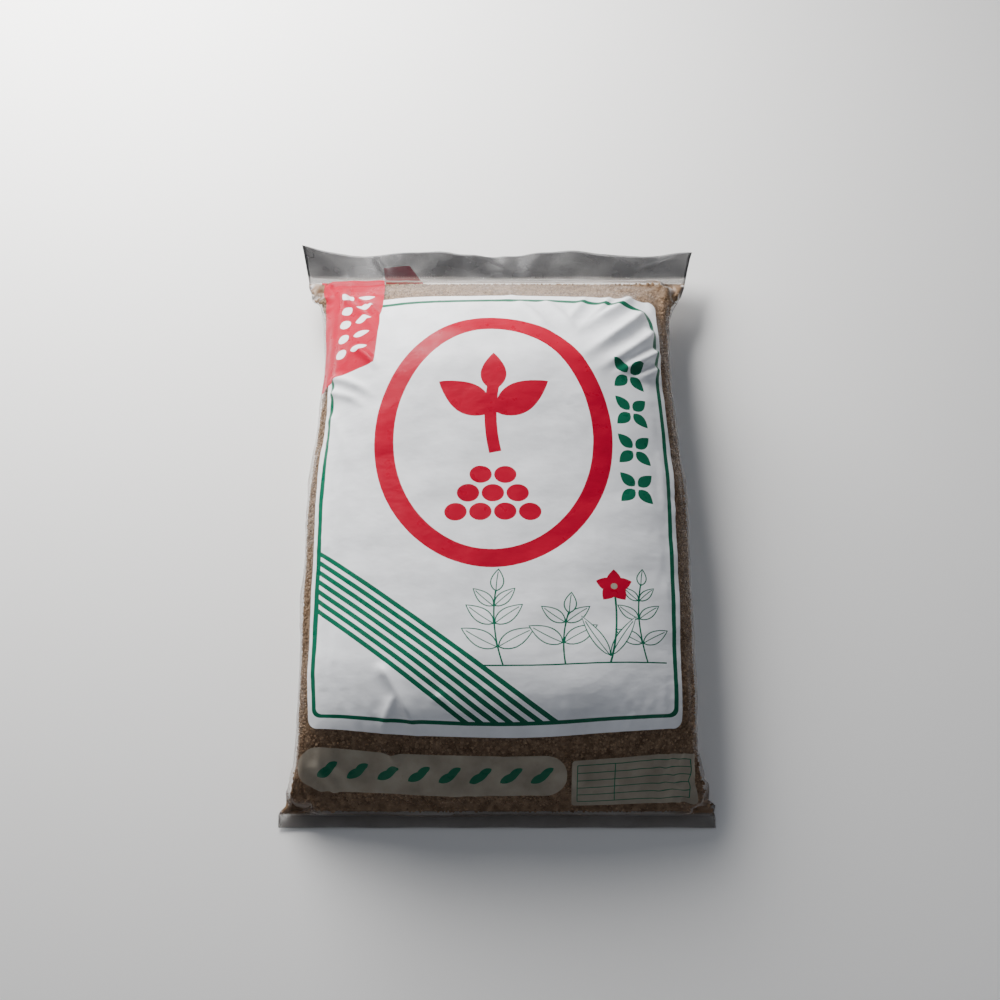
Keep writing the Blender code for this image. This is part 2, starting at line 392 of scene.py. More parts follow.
def form_collider(grid):
    """A hidden copy of the full sack's form, at half the grid's fineness, which the film can't pass."""
    inner = (grid - grid_normals(grid) * 0.0006)[::2, ::2]
    item = in_scene("collider", new_mesh("collider", inner, tube_faces(*inner.shape[:2])))
    item.modifiers.new("collision", "COLLISION")
    item.collision.thickness_outer = 0.0004
    item.collision.thickness_inner = 0.004
    item.collision.cloth_friction = 1.0
    return item


def simulate(grid, s):
    """Lets the film settle on the full sack's form, and returns the grid it comes to."""
    rows, columns, _ = grid.shape
    t = np.arange(columns)
    is_front = (t <= columns // 4) | (t >= columns - columns // 4)
    normals = grid_normals(grid)
    held = (grid[:, :, 2] < PRESSED_HEIGHT) & (normals[:, :, 2] < -0.6)
    held[[0, -1]] = True
    start = grid + normals * (s.slack * (1 + 0.6 * unevenness(grid, s.seed)))[:, :, None]
    start[held] = grid[held]
    start[:, :, 2] = np.maximum(start[:, :, 2], REST_HEIGHT)
    number = np.arange(rows * columns).reshape(rows, columns)
    for row in (0, -1):  # the two sheets share their points along a seam
        for i in range(columns):
            if not is_front[i]:
                number[row, i] = number[row, (columns // 2 - i) % columns]
    used, packed = np.unique(number, return_inverse=True)
    number = packed.reshape(rows, columns)
    faces = number.reshape(-1)[tube_faces(rows, columns)]
    cloth = in_scene("cloth", new_mesh("cloth", start.reshape(-1, 3)[used], faces))
    pin = cloth.vertex_groups.new(name="held")
    pin.add([int(i) for i in np.flatnonzero(held.reshape(-1)[used])], 1.0, "REPLACE")
    collider = form_collider(grid)
    modifier = cloth.modifiers.new("cloth", "CLOTH")
    c = modifier.settings
    c.quality = 6
    c.mass = 0.15
    c.tension_stiffness = c.compression_stiffness = 40
    c.shear_stiffness = 12
    c.bending_stiffness = 0.02
    c.tension_damping = c.compression_damping = c.shear_damping = 5
    c.bending_damping = 0.5
    c.air_damping = 2
    c.vertex_group_mass = "held"
    c.use_pressure = True
    c.uniform_pressure_force = -2.0
    modifier.collision_settings.use_self_collision = False
    modifier.collision_settings.distance_min = 0.0005
    modifier.collision_settings.collision_quality = 3
    modifier.point_cache.frame_start = 1
    modifier.point_cache.frame_end = s.frames + 1
    for moment in range(1, s.frames + 1):
        bpy.context.scene.frame_set(moment)
    shown = cloth.evaluated_get(bpy.context.evaluated_depsgraph_get())
    settled = np.zeros(len(used) * 3)
    shown.data.vertices.foreach_get("co", settled)
    settled = settled.reshape(-1, 3)[number]
    bpy.data.objects.remove(cloth)
    bpy.data.objects.remove(collider)
    bpy.context.scene.frame_set(1)
    moved = settled - grid
    far = np.linalg.norm(moved, axis=2, keepdims=True)
    return grid + moved * np.minimum(1.0, FURTHEST_SETTLING / np.maximum(far, 1e-9))


def node_tree(name):
    """A tree of a CAD node's faces, to cast rays at and to find near points in."""
    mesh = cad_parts[name].data
    return BVHTree.FromPolygons([v.co for v in mesh.vertices], [p.vertices for p in mesh.polygons])


def cast_down(tree, x, y):
    """Height of a form's top under a place, or zero where there is none."""
    place, _, _, _ = tree.ray_cast(Vector((x, y, 1.0)), Vector((0, 0, -1)))
    return place.z if place else 0.0


def full_grid(settled, s):
    """Adds the fin at the foot and the empty margin at the mouth to the settled film.

    Returns the grid and the flat place of each row, measured from the foot's seam.
    """
    rows, columns, _ = settled.shape
    low, high = CAD_BOX
    t = np.arange(columns) / columns
    signed = np.where(t > 0.5, t - 1, t) * 2 * s.tube_width
    front = np.abs(signed) <= s.tube_width / 2 + 1e-9
    across = np.where(front, signed, np.sign(signed) * s.tube_width - signed) / (s.tube_width / 2)
    bulge = np.where(front, 1, -1) * np.sqrt(np.clip(1 - np.abs(across) ** 6, 0, 1))
    tree = node_tree(FILM)
    depth = high[1] - s.mouth_seam
    seam_x = settled[-1, :, 0].max()
    shares = np.linspace(0, 1, MARGIN_ROWS + 1)[1:]
    ends = np.linspace(-0.999, 0.999, 33)
    margin = []
    for share in shares:
        wide = seam_x + (high[0] - seam_x) * share
        y = s.mouth_seam + depth * share
        tops = [cast_down(tree, x * wide, min(y, high[1] - 1e-4)) for x in ends]
        level = np.interp(across, ends, tops) - HALF_MARGIN
        gap = SEALED_GAP + s.layer_gap * smooth((share * depth - s.seal) / 0.012)
        ripple = 0.0009 * share * np.sin(across * 31 + 2.2 * np.sin(across * 5)) * (1 - across**8)
        height = level + ripple + bulge * gap / 2
        margin.append(np.stack([across * wide, np.full(columns, y), height], axis=1))
    foot_depth = s.foot_seam - low[1]
    foot_x = settled[0, :, 0].max()
    seam_z = settled[0, :, 2].mean()
    foot_shares = np.linspace(1, 0, FIN_ROWS + 1)[:-1]
    fin = []
    for share in foot_shares:
        gap = SEALED_GAP + 0.0005 * share
        wave = 0.0007 * share * np.sin(across * 17 + 1.0)
        height = seam_z * (1 - 0.55 * share**2) + wave + bulge * gap / 2
        y = np.full(columns, s.foot_seam - foot_depth * share)
        fin.append(np.stack([across * foot_x, y, height], axis=1))
    grid = np.concatenate([np.array(fin), settled, np.array(margin)])
    body_v = np.linspace(0, s.seam_to_seam, rows)
    places = np.concatenate([-foot_depth * foot_shares, body_v, s.seam_to_seam + depth * shares])
    return grid, places


def cubic_weights(f):
    """Catmull-Rom weights of the four points round a place."""
    first = ((-0.5 * f + 1.0) * f - 0.5) * f
    second = (1.5 * f - 2.5) * f * f + 1.0
    third = ((-1.5 * f + 2.0) * f + 0.5) * f
    fourth = (0.5 * f - 0.5) * f * f
    return np.stack([first, second, third, fourth], axis=-1)


def on_grid(values, places, uv, tube_width):
    """Values of a wrapped grid at flat places (u, v), smoothly between its points."""
    rows, columns = values.shape[:2]
    i = uv[:, 0] / (2 * tube_width) * columns
    j = np.interp(uv[:, 1], places, np.arange(rows))
    i0 = np.floor(i).astype(int)
    j0 = np.minimum(np.floor(j).astype(int), rows - 2)
    wi, wj = cubic_weights(i - i0), cubic_weights(j - j0)
    total = np.zeros((len(uv), values.shape[2]))
    for a in range(4):
        jj = np.clip(j0 + a - 1, 0, rows - 1)
        for b in range(4):
            ii = (i0 + b - 1) % columns
            total += values[jj, ii] * (wj[:, a] * wi[:, b])[:, None]
    return total


def ridge(uv, start, end, width, height, bend):
    """A fold along a line in the flat film, bowed sideways and fading at its ends."""
    a, b = np.array(start), np.array(end)
    size = np.hypot(*(b - a))
    along = (b - a) / size
    side = np.array([-along[1], along[0]])
    t = (uv - a) @ along / size
    d = (uv - a) @ side - bend * 4 * t * (1 - t)
    taper = smooth(t / 0.16) * smooth((1 - t) / 0.55)
    return height * taper * np.exp(-(np.abs(d / width) ** 1.5))


def fold_heights(uv, s):
    """How far folds lift the finished film off the settled one, at flat places."""
    total = np.zeros(len(uv))
    for start, end, width, height, bend in FOLDS:
        total = np.maximum(total, ridge(uv, start, end, width, height, bend))
    random = np.random.default_rng(s.seed + 20)
    for u, v, reach, heading, spread, count in CREASED:
        for _ in range(count):
            angle = math.radians(heading + random.uniform(-spread, spread))
            begin = np.array([u, v]) + random.normal(0, reach * 0.35, 2)
            step = np.array([math.cos(angle), math.sin(angle)]) * random.uniform(0.4, 1.0) * reach
            width = random.uniform(0.0036, 0.0060)
            height = random.uniform(0.0003, 0.0011)
            bend = random.normal(0, 0.004)
            total = np.maximum(total, ridge(uv, begin, begin + step, width, height, bend))
    lumps = np.zeros(len(uv))  # the soil's lumps, felt through the film
    for _ in range(14):
        lumps += np.sin(uv @ random.normal(0, 48, 2) + random.uniform(0, 2 * math.pi))
    return total + 0.0004 * np.clip(1.5 + lumps / 2.6, 0, None)


def oval(u, v, half_u, half_v, count=96):
    angle = np.arange(count) / count * 2 * math.pi
    return np.stack([u + half_u * np.cos(angle), v + half_v * np.sin(angle)], axis=1)


def round_box(u0, v0, u1, v1, radius, top_right=None):
    """A rectangle with round corners, counterclockwise from its upper right."""
    first = radius if top_right is None else top_right
    points = []
    for turn, (corner_u, corner_v, r) in enumerate(
        ((u1, v1, first), (u0, v1, radius), (u0, v0, radius), (u1, v0, radius))
    ):
        middle_u = corner_u - r if turn in (0, 3) else corner_u + r
        middle_v = corner_v - r if turn in (0, 1) else corner_v + r
        angle = np.linspace(0, math.pi / 2, 9) + turn * math.pi / 2
        points.append(np.stack([middle_u + r * np.cos(angle), middle_v + r * np.sin(angle)], axis=1))
    return np.concatenate(points)


def leaf(u, v, heading, size, width, count=12):
    """A pointed leaf from its stalk at (u, v)."""
    t = np.linspace(0, 1, count)
    half = width / 2 * np.sin(math.pi * t**0.8) ** 0.9
    along = np.array([math.cos(heading), math.sin(heading)])
    side = np.array([-along[1], along[0]])
    spine = np.array([u, v]) + np.outer(t * size, along)
    left = spine + np.outer(half, side)
    right = spine - np.outer(half, side)
    return np.concatenate([left, right[-2:0:-1]])


def stroke(points, width):
    """A line of even width along points."""
    points = np.array(points, float)
    along = unit(np.gradient(points, axis=0))
    side = np.stack([-along[:, 1], along[:, 0]], axis=1) * width / 2
    return np.concatenate([points + side, (points - side)[::-1]])


def bow(start, end, bulge, count=14):
    """Points along a bowed line."""
    a, b = np.array(start, float), np.array(end, float)
    t = np.linspace(0, 1, count)[:, None]
    side = np.array([-(b - a)[1], (b - a)[0]])
    return a + (b - a) * t + side * bulge * 4 * t * (1 - t)


def line_leaf(u, v, heading, size, width, line):
    """An outlined leaf with its middle rib: ink, then ground, then ink."""
    along = np.array([math.cos(heading), math.sin(heading)])
    base = np.array([u, v])
    inner = base + along * line * 1.3
    return [
        ("green", leaf(u, v, heading, size, width)),
        ("white", leaf(*inner, heading, size - 2.8 * line, width - 2 * line)),
        ("green", stroke(bow(base, base + along * size * 0.86, 0.02), line * 0.8)),
    ]


def sprig(u, v, height, lean, pairs, size, line):
    """A generic line-drawn stalk with leaves on both sides."""
    top = (u + lean, v + height)
    spine = bow((u, v), top, 0.06)
    marks = []
    for k in range(pairs):
        place = spine[int((k + 1) * (len(spine) - 2) / (pairs + 0.4))]
        shrink = 1 - 0.45 * k / pairs
        for side in (-1, 1):
            heading = UP + side * (1.05 - 0.12 * k)
            marks += line_leaf(*place, heading, size * shrink, size * 0.46 * shrink, line)
    marks.append(("green", stroke(spine, line * 1.3)))
    marks += line_leaf(top[0], top[1] - 0.003, UP - 0.1, size * 0.62, size * 0.34, line)
    return marks


def corner_stripes(s, left, bottom):
    """Parallel diagonal stripes from the panel's left border down to its bottom border."""
    marks = []
    for k in range(STRIPES):
        rise = STRIPE_RISE + STRIPE_STEP * k
        a = np.array([left, bottom + rise])
        b = np.array([left + rise * STRIPE_RUN, bottom])
        down = (b - a) / np.hypot(*(b - a))
        lift = np.array([0, s.stripe / 2 / abs(down[0])])
        push = np.array([s.stripe / 2 / abs(down[1]), 0])
        marks.append(("green", np.array([a + lift, a - lift, b - push, b + push])))
    return marks


def emblem(u, v):
    """A ring round a seedling that stands over a heap of grains."""
    marks = [("red", oval(u, v, 0.1070, 0.1327, 120)), ("white", oval(u, v, 0.0892, 0.1150, 110))]
    marks.append(("red", stroke(bow((u + 0.002, v - 0.018), (u, v + 0.050), 0.05), 0.011)))
    for side in (-1, 1):
        heading = UP - side * 0.98
        marks.append(("red", leaf(u + side * 0.002, v + 0.022, heading, 0.058, 0.031, 18)))
    marks.append(("red", leaf(u, v + 0.044, UP, 0.040, 0.024, 16)))
    for row, count in enumerate((4, 3, 2)):
        for k in range(count):
            across = (k - (count - 1) / 2) * 0.0215
            marks.append(("red", oval(u + across, v - 0.078 + row * 0.0186, 0.0098, 0.0088, 22)))
    return marks


def leaf_column(u, v, step, count):
    """Crosses of four plain leaves, one above the other."""
    marks = []
    for k in range(count):
        for turn in np.arange(4) * math.pi / 2 + math.pi / 4:
            at = (u + 0.0025 * math.cos(turn), v - step * k + 0.0025 * math.sin(turn))
            marks.append(("green", leaf(*at, turn, 0.0185, 0.0110)))
    return marks


def planting(u, v, line):
    """Three leafy sprigs and one simple red flower on a ground line."""
    marks = sprig(u + 0.020, v, 0.072, -0.006, 3, 0.036, line)
    marks += sprig(u + 0.072, v, 0.050, 0.004, 2, 0.034, line)
    marks += sprig(u + 0.143, v, 0.078, -0.004, 3, 0.028, line)
    stalk = u + 0.110
    for side in (-1, 1):
        marks += line_leaf(stalk, v + 0.006, UP + side * 0.55, 0.046, 0.011, line)
    marks.append(("green", stroke(bow((stalk, v), (stalk + 0.005, v + 0.070), -0.05), line * 1.6)))
    for k in range(5):
        heading = UP + k * 2 * math.pi / 5
        marks.append(("red", leaf(stalk + 0.005, v + 0.074, heading, 0.0165, 0.0125)))
    marks.append(("cream", oval(stalk + 0.005, v + 0.074, 0.0030, 0.0030, 14)))
    ground = [(u + 0.161 * t, v) for t in np.linspace(0, 1, 5)]
    marks.append(("green", stroke(ground, line * 1.2)))
    return marks


def banner(u, v):
    """The red corner banner, with a column of plain dots and leaves."""
    marks = [("red", np.array(BANNER))]
    for k in range(5):
        marks.append(("white", oval(u, v - 0.021 * k, 0.0060, 0.0060, 18)))
        marks.append(("white", leaf(u + 0.011, v - 0.021 * k, 0.15, 0.017, 0.009)))
    return marks


def pill():
    """The long label at the foot, with a row of plain leaves."""
    marks = [("cream", round_box(*PILL, 0.0200))]
    for k in range(8):
        u = -0.150 + 0.0270 * k
        marks.append(("green", leaf(u - 0.009, 0.0410, 0.55, 0.0210, 0.0082)))
        marks.append(("green", leaf(u + 0.011, 0.0560, 0.55 + math.pi, 0.0150, 0.0062)))
    return marks


def ruled_box():
    """The small ruled label at the foot."""
    u0, v0, u1, v1 = LABEL_RULES
    marks = [("cream", round_box(*LABEL, 0.003))]
    for v in np.linspace(v0, v1, 6):
        marks.append(("green", stroke([(u0, v), ((u0 + u1) / 2, v), (u1, v)], RULE)))
    for u in (u0, 0.104, u1):
        marks.append(("green", stroke([(u, v0), (u, (v0 + v1) / 2), (u, v1)], RULE)))
    return marks


def drawn_in(box, sides, foot, top):
    """A box that is narrower by a width at both sides, at its foot and at its top."""
    u0, v0, u1, v1 = box
    return u0 + sides, v0 + foot, u1 - sides, v1 - top


def front_print(s):
    """The front's inks, each painted over the ones before it."""
    line = drawn_in(PANEL, SIDE_INSET, BORDER_INSET, BORDER_INSET)
    inner = drawn_in(line, s.border_side, s.border, s.border_top)
    marks = [("white", round_box(*PANEL, 0.009)), ("green", round_box(*line, 0.008, 0.026))]
    marks.append(("white", round_box(*inner, 0.006, 0.0225)))
    marks += corner_stripes(s, *inner[:2]) + emblem(*EMBLEM) + leaf_column(*LEAF_COLUMN, 0.040, 4)
    marks += planting(*PLANTING, PLANTING_LINE) + banner(*BANNER_MARKS)
    return marks + pill() + ruled_box()


def back_print(u, w):
    """The back's plain bordered panel, and the red patch of it that crosses the mouth's margin."""
    panel = (u - 0.170, 0.055, u + 0.170, 0.535)
    line = drawn_in(panel, 0.006, 0.006, 0.006)
    marks = [("white", round_box(*panel, 0.006)), ("green", round_box(*line, 0.010))]
    marks.append(("white", round_box(*drawn_in(line, w, w, w), 0.008)))
    marks.append(("red", oval(u, 0.330, 0.098, 0.116, 90)))
    marks.append(("white", oval(u, 0.330, 0.084, 0.102, 84)))
    patch = ((u + 0.050, 0.560), (u + 0.114, 0.560), (u + 0.114, 0.621), (u + 0.088, 0.622))
    marks.append(("red", np.array(patch)))
    return marks


def resampled(outline, step):
    """A closed outline with no gap over step between its points."""
    points = []
    for a, b in zip(outline, np.roll(outline, -1, axis=0)):
        pieces = max(1, math.ceil(np.hypot(*(b - a)) / step))
        points.extend(a + (b - a) * k / pieces for k in range(pieces))
    return np.array(points)


def inside(points, outline):
    """Which points lie in a closed outline."""
    found = np.zeros(len(points), bool)
    box = np.all((points >= outline.min(axis=0)) & (points <= outline.max(axis=0)), axis=1)
    near = points[box]
    odd = np.zeros(len(near), bool)
    for a, b in zip(outline, np.roll(outline, -1, axis=0)):
        if a[1] != b[1]:
            spans = (near[:, 1] < a[1]) != (near[:, 1] < b[1])
            at = a[0] + (near[:, 1] - a[1]) * (b[0] - a[0]) / (b[1] - a[1])
            odd ^= spans & (near[:, 0] < at)
    found[box] = odd
    return found


def distances(points, others):
    """How far each flat point lies from the nearest of some others."""
    tree = KDTree(len(others))
    for number, other in enumerate(others):
        tree.insert((*other, 0.0), number)
    tree.balance()
    return np.array([tree.find((*point, 0.0))[2] for point in points])


def flat_layout(s, marks, low_v, high_v):
    """Meshes the unrolled tube with every print outline cut in.

    Returns the flat points and the triangles. The tube is cut open along its left fold, where
    both edges have the same points.
    """
    half = s.tube_width / 2
    left, right = -half, 3 * half
    rows = round((high_v - low_v) / s.front_grid)
    vs = np.linspace(low_v, high_v, rows + 1)
    front_us = np.linspace(left, half, round(2 * half / s.front_grid) + 1)
    back_us = np.linspace(half, right, round(2 * half / s.back_grid) + 1)[1:]
    front = np.stack(np.meshgrid(front_us, vs), axis=-1)
    front[1:-1:2, 1:-1, 0] += (front_us[1] - front_us[0]) / 2 * 0.9
    back_vs = vs[:: round(s.back_grid / s.front_grid)]
    if back_vs[-1] != vs[-1]:
        back_vs = np.r_[back_vs, vs[-1]]
    back = np.stack(np.meshgrid(back_us, back_vs), axis=-1)
    cut = np.stack([np.full(len(vs), right), vs], axis=1)
    loose = np.concatenate([front[1:-1, 1:-1].reshape(-1, 2), back[1:-1, :-1].reshape(-1, 2)])
    bottom_us = np.r_[front_us[1:], back_us[:-1]]
    rim = [np.stack([bottom_us, np.full(len(bottom_us), v)], axis=1) for v in (low_v, high_v)]
    fixed = np.concatenate([np.stack([np.full(len(vs), left), vs], axis=1), cut, *rim])
    loose = loose[distances(loose, np.concatenate(marks)) > 0.45 * s.front_grid]
    points = np.concatenate([fixed, loose])
    edges = []
    for outline in marks:
        first = len(points)
        points = np.concatenate([points, outline])
        count = len(outline)
        edges += [(first + k, first + (k + 1) % count) for k in range(count)]
    places, _, faces, _, _, _ = delaunay_2d_cdt([Vector(p) for p in points], edges, [], 0, 1e-6)
    return np.array([tuple(p) for p in places]), np.array([tuple(f) for f in faces])


def corner_dust(flat, film):
    """How thickly fine soil lies on the film in the sack's four flat corners, from 0 to 1."""
    width = film.tube_width
    to_fold = width / 2 - np.abs((flat[:, 0] + width / 2) % width - width / 2)
    to_seam = np.minimum(flat[:, 1], film.seam_to_seam - flat[:, 1])
    near = smooth(1.4 - to_seam / 0.020) * smooth(1.4 - to_fold / 0.030)
    return 0.8 * near * (to_seam > 0)


def film_mesh(grid, places, film, inks):
    """The finished film: its print cut in, wrapped on the settled grid with its folds."""
    marks = front_print(inks) + back_print(film.tube_width, inks.border)
    outlines = [resampled(outline, 0.7 * film.front_grid) for _, outline in marks]
    flat, faces = flat_layout(film, outlines, places[0], places[-1])
    middles = flat[faces].mean(axis=1)
    slot = np.full(len(faces), INKS.index("clear"))
    past = middles[:, 1] - film.seam_to_seam
    slot[past > 0] = INKS.index("empty")
    slot[((past > 0) & (past < film.seal)) | (middles[:, 1] < 0)] = INKS.index("seal")
    for (ink, _), outline in zip(marks, outlines):
        slot[inside(middles, outline)] = INKS.index(ink)
    normals = grid_normals(grid)
    co = on_grid(grid, places, flat, film.tube_width)
    normal = unit(on_grid(normals, places, flat, film.tube_width))
    rests = (normal[:, 2] < 0) * (1 - smooth(co[:, 2] / 0.02))
    co += normal * (fold_heights(flat, film) * (1 - rests))[:, None]
    co[:, 2] = np.maximum(co[:, 2], LEAST_HEIGHT)
    number = np.arange(len(flat))
    far = flat[:, 0] > 1.5 * film.tube_width - 1e-6
    near = np.flatnonzero(flat[:, 0] < -0.5 * film.tube_width + 1e-6)
    near = near[np.argsort(flat[near, 1])]
    ends = np.flatnonzero(far)
    number[ends[np.argsort(flat[ends, 1])]] = near
    used, packed = np.unique(number, return_inverse=True)
    mesh = new_mesh("film", co[used], packed[faces])
    layer = mesh.uv_layers.new(name="flat")
    layer.data.foreach_set("uv", flat[faces.ravel()].ravel())
    dust = np.zeros(len(used))
    dust[packed] = corner_dust(flat, film)
    mesh.attributes.new("dust", "FLOAT", "POINT").data.foreach_set("value", dust)
    mesh.polygons.foreach_set("material_index", slot)
    mesh.polygons.foreach_set("use_smooth", np.ones(len(faces), bool))
    return mesh, flat, slot, faces


def settled_film(s):
    grid = wrapped_grid(s)
    settled = simulate(grid, s)
    settled[:, :, 2] = np.maximum(settled[:, :, 2], REST_HEIGHT)
    SHARED["settled"] = settled
    return settled


def new_material(name):
    """A new material, its node tree and its Principled BSDF."""
    material = bpy.data.materials.new(name)
    material.use_nodes = True
    return material, material.node_tree, material.node_tree.nodes["Principled BSDF"]


def feed(tree, node, inputs):
    """Sets a node's inputs, each to a value or to the socket that feeds it."""
    for name, value in inputs.items():
        if isinstance(value, bpy.types.NodeSocket):
            tree.links.new(value, node.inputs[name])
        else:
            node.inputs[name].default_value = value


def shader_node(tree, kind, inputs, **settings):
    """The outputs of a new shader node with its settings and its inputs."""
    node = tree.nodes.new("ShaderNode" + kind)
    for name, value in settings.items():
        setattr(node, name, value)
    feed(tree, node, inputs)
    return node.outputs


def noise_at(tree, place, scale, detail):
    """Noise at a place."""
    inputs = {"Vector": place, "Scale": scale, "Detail": detail}
    return shader_node(tree, "TexNoise", inputs)["Fac"]


def flat_place(tree):
    """A place on the flat film."""
    return shader_node(tree, "UVMap", {}, uv_map="flat")["UV"]


def flat_noise(tree, scale, detail, stretch=(1, 1, 1)):
    """Noise laid on the flat film, so it follows every fold."""
    place = shader_node(tree, "Mapping", {"Vector": flat_place(tree), "Scale": stretch})["Vector"]
    return noise_at(tree, place, scale, detail)


def remap(tree, source, low, high, start=0.3, end=0.7):
    """A value brought from start..end to low..high."""
    ends = {"From Min": start, "From Max": end, "To Min": low, "To Max": high}
    return shader_node(tree, "MapRange", {"Value": source, **ends})["Result"]


def tone_between(tree, share, low, high):
    """A colour between two."""
    inputs = {"A": (*low, 1), "B": (*high, 1), "Factor": share}
    return shader_node(tree, "Mix", inputs, data_type="RGBA")["Result"]


def raised(tree, height, strength, distance, under=None, invert=False):
    """The normal of a surface raised by a height, on top of another normal where there is one."""
    inputs = {"Height": height, "Strength": strength, "Distance": distance}
    if under is not None:
        inputs["Normal"] = under
    return shader_node(tree, "Bump", inputs, invert=invert)["Normal"]


def film_normal(tree):
    """Crumple and fine grain of the film's surface."""
    crumple = raised(tree, flat_noise(tree, 26, 3, (1, 1.6, 1)), 0.30, 0.004)
    return raised(tree, flat_noise(tree, 260, 2), 0.12, 0.0006, crumple)


def ink_material(name, ink, cover=1.0):
    """Glossy film printed with one ink, slightly uneven in tone and shine.

    A cover under 1 is a thin ink that what lies behind shows through.
    """
    material, tree, shader = new_material(name)
    blotch = flat_noise(tree, 34, 5)
    pale = [min(1, c * 1.06) for c in ink]
    look = {
        "Base Color": tone_between(tree, remap(tree, blotch, 0, 1), [c * 0.90 for c in ink], pale),
        "Roughness": remap(tree, flat_noise(tree, 90, 4), 0.24, 0.42),
        "Specular IOR Level": 0.19,
        "Normal": film_normal(tree),
    }
    if cover < 1:
        look["Alpha"] = remap(tree, blotch, cover - 0.12, cover + 0.12)
    feed(tree, shader, look)
    return material


def clear_material(name, haze, inner, edge, knurled):
    """Clear film: light passes, but for a little haze, dust in the corners and the film's gloss.

    The haze has the inner colour where the film is seen straight on, and the edge grey aslant: partly
    haze and partly a painted sheen that stands in for the film's glare.
    """
    material, tree, shader = new_material(name)
    facing = shader_node(tree, "LayerWeight", {"Blend": 0.25})["Facing"]
    aslant = remap(tree, facing, 0.0, 1.0, 0.15, 0.9)
    normal = film_normal(tree)
    if knurled:
        inputs = {"Vector": flat_place(tree), "Scale": 260}
        ribs = shader_node(tree, "TexWave", inputs, bands_direction="X")["Fac"]
        normal = raised(tree, ribs, 0.6, 0.0008, normal)
    cloud = flat_noise(tree, 22, 4, (1, 1.5, 1))
    cover = remap(tree, cloud, haze * 0.82, haze * 1.18)
    dust = shader_node(tree, "Attribute", {}, attribute_name="dust")["Fac"]
    # Aslant, more of the film is covered in its edge grey: a painted sheen, added to the dust in the
    # corners.
    for part in (remap(tree, aslant, 0.0, 0.60, 0.0, 1.0), dust):
        inputs = {0: cover, 1: part}
        cover = shader_node(tree, "Math", inputs, operation="ADD", use_clamp=True)["Value"]
    look = {
        "Base Color": tone_between(tree, aslant, inner, (edge, edge, edge * 1.02)),
        "Roughness": 0.30,
        "Specular IOR Level": 0.32,
        "Normal": normal,
        "Alpha": cover,
    }
    feed(tree, shader, look)
    return material


def soil_material(name, dark, light, by_grain):
    """Dry, crumbly soil, by noise or by each grain's own tone."""
    material, tree, shader = new_material(name)
    place = shader_node(tree, "TexCoord", {})["Object"]
    grit = noise_at(tree, place, 420 if by_grain else 150, 5)
    if by_grain:
        own = shader_node(tree, "Attribute", {}, attribute_name="tone")["Fac"]
        inputs = {0: grit, 1: 0.45, 2: remap(tree, own, -0.15, 0.75, 0.0, 1.0)}
        share = shader_node(tree, "Math", inputs, operation="MULTIPLY_ADD")["Value"]
    else:
        share = remap(tree, grit, 0, 0.7)
    inputs = {"Vector": place, "Scale": 900 if by_grain else 260}
    lumps = shader_node(tree, "TexVoronoi", inputs)["Distance"]
    look = {
        "Base Color": tone_between(tree, share, dark, light),
        "Roughness": remap(tree, grit, 0.82, 1.0),
        "Specular IOR Level": 0.2,
        "Normal": raised(tree, lumps, 0.5, 0.0004 if by_grain else 0.002, invert=True),
    }
    feed(tree, shader, look)
    return material


def new_piece(name, mesh, materials):
    """An object in the scene with its materials in order."""
    for material in materials:
        mesh.materials.append(material)
    return in_scene(name, mesh)


def film_tree(settled):
    """A tree of the settled film's faces, to cast rays at."""
    faces = tube_faces(*settled.shape[:2]).tolist()
    return BVHTree.FromPolygons(settled.reshape(-1, 3).tolist(), faces)


def depth_under(tree, point, outward):
    """How far the film's far side lies below a place on or in the sack."""
    start = Vector(point - outward * FILM_CLEARANCE)
    _, _, _, depth = tree.ray_cast(start, Vector(-outward))
    return depth or 0.0


def packed_soil(settled, s):
    """The body of the soil: the CAD soil, reaching into the film's flat corners, lumpy all over."""
    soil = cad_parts[SOIL]
    sack = film_tree(settled)
    points, outward = settled.reshape(-1, 3), grid_normals(settled).reshape(-1, 3)
    depths = np.array([depth_under(sack, p, n) for p, n in zip(points, outward)])
    reach = points - outward * np.minimum(SOIL_CLEARANCE, INSET_SHARE * depths)[:, None]
    faces = tube_faces(*settled.shape[:2]).tolist()
    faces += [[len(reach) + k for k in polygon.vertices] for polygon in soil.data.polygons]
    whole = bpy.data.meshes.new("copy")
    whole.from_pydata(reach.tolist() + [tuple(v.co) for v in soil.data.vertices], [], faces)
    copy = in_scene("copy", whole)
    remesh = copy.modifiers.new("remesh", "REMESH")
    remesh.mode = "VOXEL"
    remesh.voxel_size = VOXEL
    shown = copy.evaluated_get(bpy.context.evaluated_depsgraph_get())
    mesh = bpy.data.meshes.new_from_object(shown)
    bpy.data.objects.remove(copy)
    count = len(mesh.vertices)
    co, normal = np.zeros(count * 3), np.zeros(count * 3)
    mesh.vertices.foreach_get("co", co)
    mesh.vertex_normals.foreach_get("vector", normal)
    co, normal = co.reshape(-1, 3), normal.reshape(-1, 3)
    rough = unevenness(co * 5, s.seed) * 0.35 + unevenness(co * 2, s.seed + 1) * 0.3
    inset = s.inset * (1 + 0.5 * np.clip(rough, -1, 1))
    depths = np.array([depth_under(sack, p, n) for p, n in zip(co, normal)])
    co -= normal * np.minimum(inset, INSET_SHARE * depths)[:, None]
    co[:, 2] = np.maximum(co[:, 2], frame_low(soil) + 0.0006)
    mesh.vertices.foreach_set("co", co.ravel())
    mesh.polygons.foreach_set("use_smooth", np.ones(len(mesh.polygons), bool))
    return mesh


def frame_low(node):
    """Lowest height of a CAD node."""
    return min(v.co.z for v in node.data.vertices)


